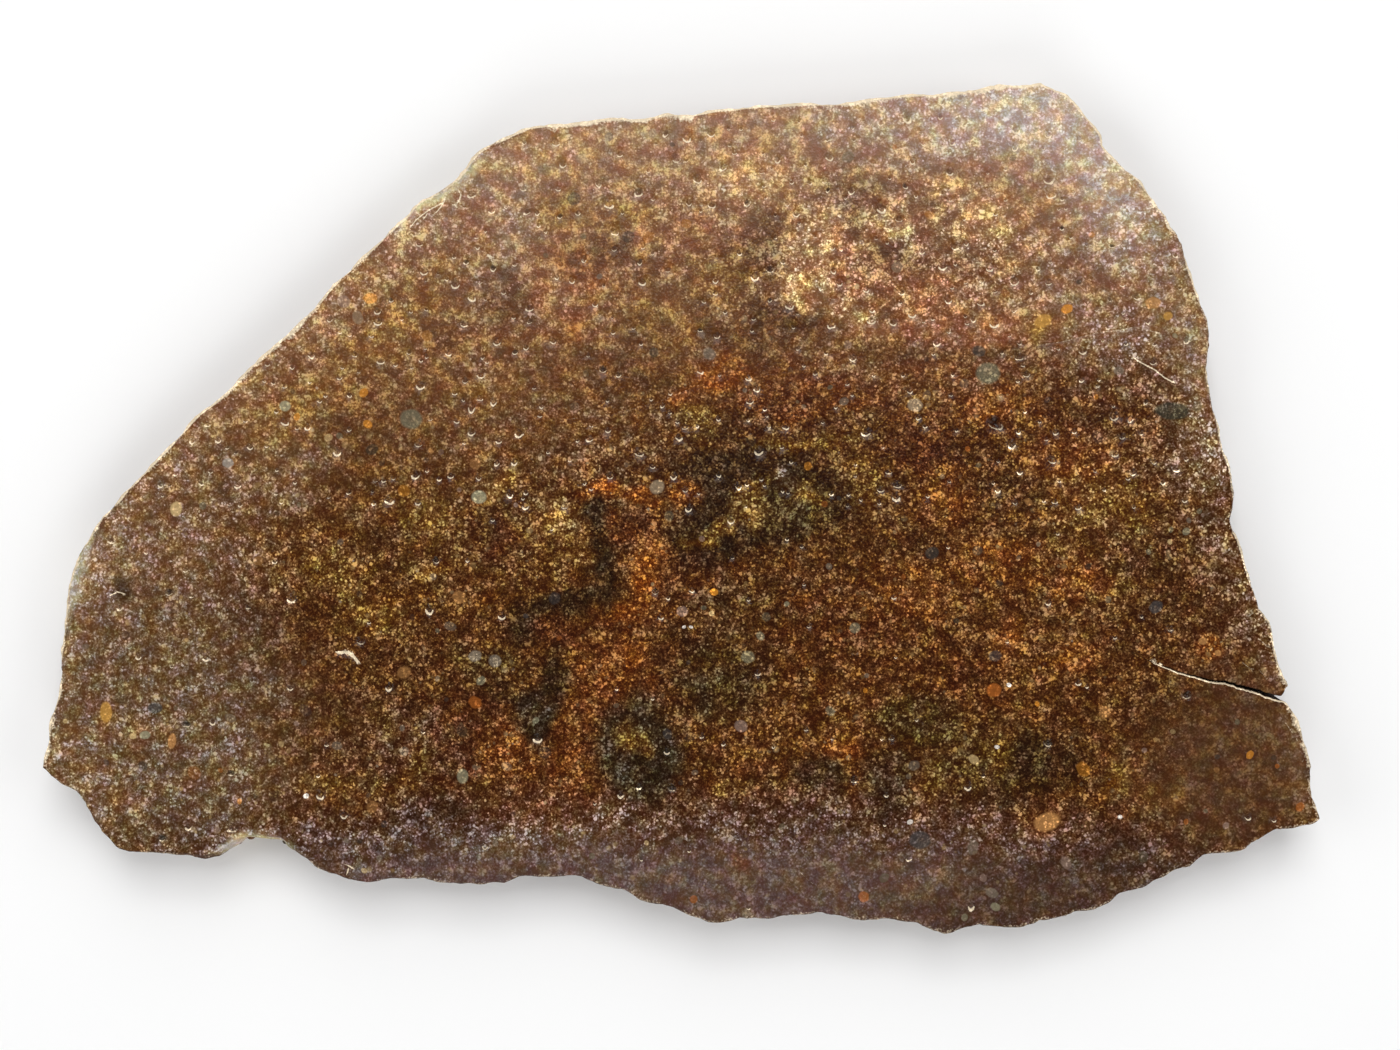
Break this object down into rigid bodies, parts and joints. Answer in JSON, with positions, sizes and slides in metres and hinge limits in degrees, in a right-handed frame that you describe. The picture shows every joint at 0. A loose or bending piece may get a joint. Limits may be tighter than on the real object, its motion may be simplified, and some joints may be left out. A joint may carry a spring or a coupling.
{
  "type": "carbonaceous chondrite meteorite slice",
  "caption": "Thin sawn slice of a speckled brown stony meteorite with a polished face, a broken and worn rim, small pits and a short open crack.",
  "frame": {"origin": "under the middle of the slice's box, on the surface that its sawn back rests on", "axes": "+X along the slice's long side, +Y to the straight top side of the outline, +Z out of the polished face"},
  "size_m": [0.0768, 0.051, 0.004],
  "materials": {
    "polished_chondrite": "dark brown ground speckled with gold, orange and grey grains, polished on the face and rough on the rim"
  },
  "bodies": {
    "root": {"meteorite_slice": "polished_chondrite"}
  },
  "joints": []
}
